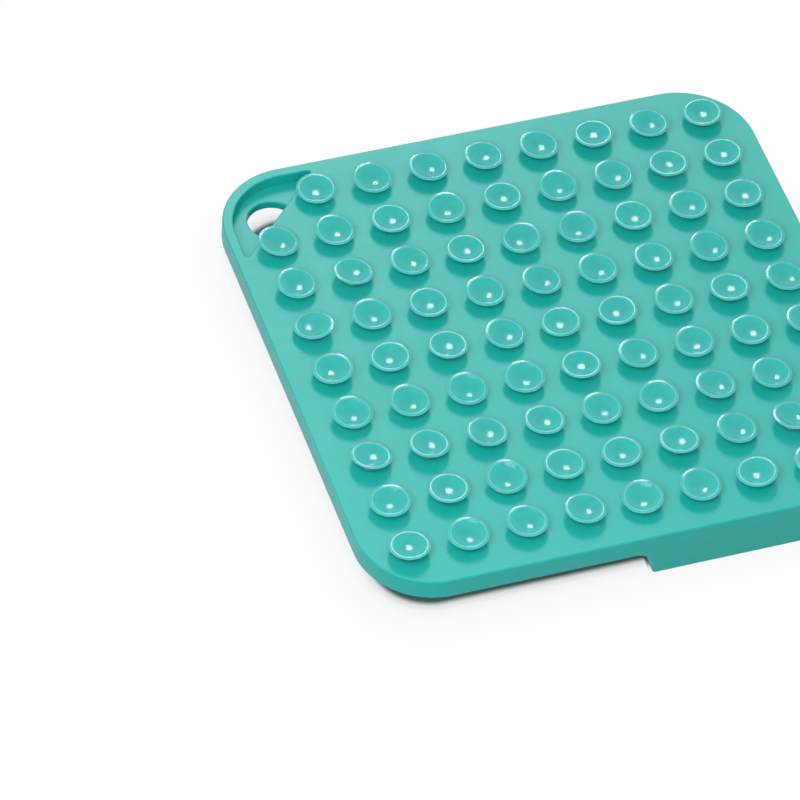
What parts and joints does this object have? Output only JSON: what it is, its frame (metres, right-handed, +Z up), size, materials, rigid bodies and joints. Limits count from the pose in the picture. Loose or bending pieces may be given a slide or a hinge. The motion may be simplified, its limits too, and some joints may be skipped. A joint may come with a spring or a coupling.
{
  "type": "lick mat",
  "caption": "Square silicone lick mat with a shallow half, a deep half, a hanging corner with a D-shaped hole, lick textures on one side and a grid of suction cups on the other.",
  "frame": {"origin": "middle of the square footprint, on the surface that the lip of the deep border rests on", "axes": "+Z up, out of the suction cups; +X from the shallow half to the deep half; +Y from the front edge to the back edge, whose -X corner has the hanging hole"},
  "size_m": [0.2, 0.2, 0.0231],
  "materials": {
    "mat_silicone": "matte moulded silicone",
    "cup_silicone": "glossy moulded silicone"
  },
  "bodies": {
    "mat": {"base_sheet": "mat_silicone", "shallow_rim": "mat_silicone", "deep_rim": "mat_silicone", "divider_wall": "mat_silicone", "hang_tab": "mat_silicone", "lick_ridges": "mat_silicone", "lick_crosses": "mat_silicone", "lick_studs": "mat_silicone", "feeder_posts": "mat_silicone", "feeder_chevrons": "mat_silicone", "feeder_bars": "mat_silicone"},
    "suction_cups": {"suction_cup_row_1": "cup_silicone", "suction_cup_row_2": "cup_silicone", "suction_cup_row_3": "cup_silicone", "suction_cup_row_4": "cup_silicone", "suction_cup_row_5": "cup_silicone", "suction_cup_row_6": "cup_silicone", "suction_cup_row_7": "cup_silicone", "suction_cup_row_8": "cup_silicone", "suction_cup_row_9": "cup_silicone"}
  },
  "joints": [
    {"name": "cup_press", "type": "slide", "parent": "mat", "child": "suction_cups", "axis": [0, 0, -1], "range_m": [0, 0.0015], "stiffness_N_per_m": 5000, "springref_m": -0.0005, "deforming": ["suction_cup_row_1", "suction_cup_row_2", "suction_cup_row_3", "suction_cup_row_4", "suction_cup_row_5", "suction_cup_row_6", "suction_cup_row_7", "suction_cup_row_8", "suction_cup_row_9"]}
  ]
}
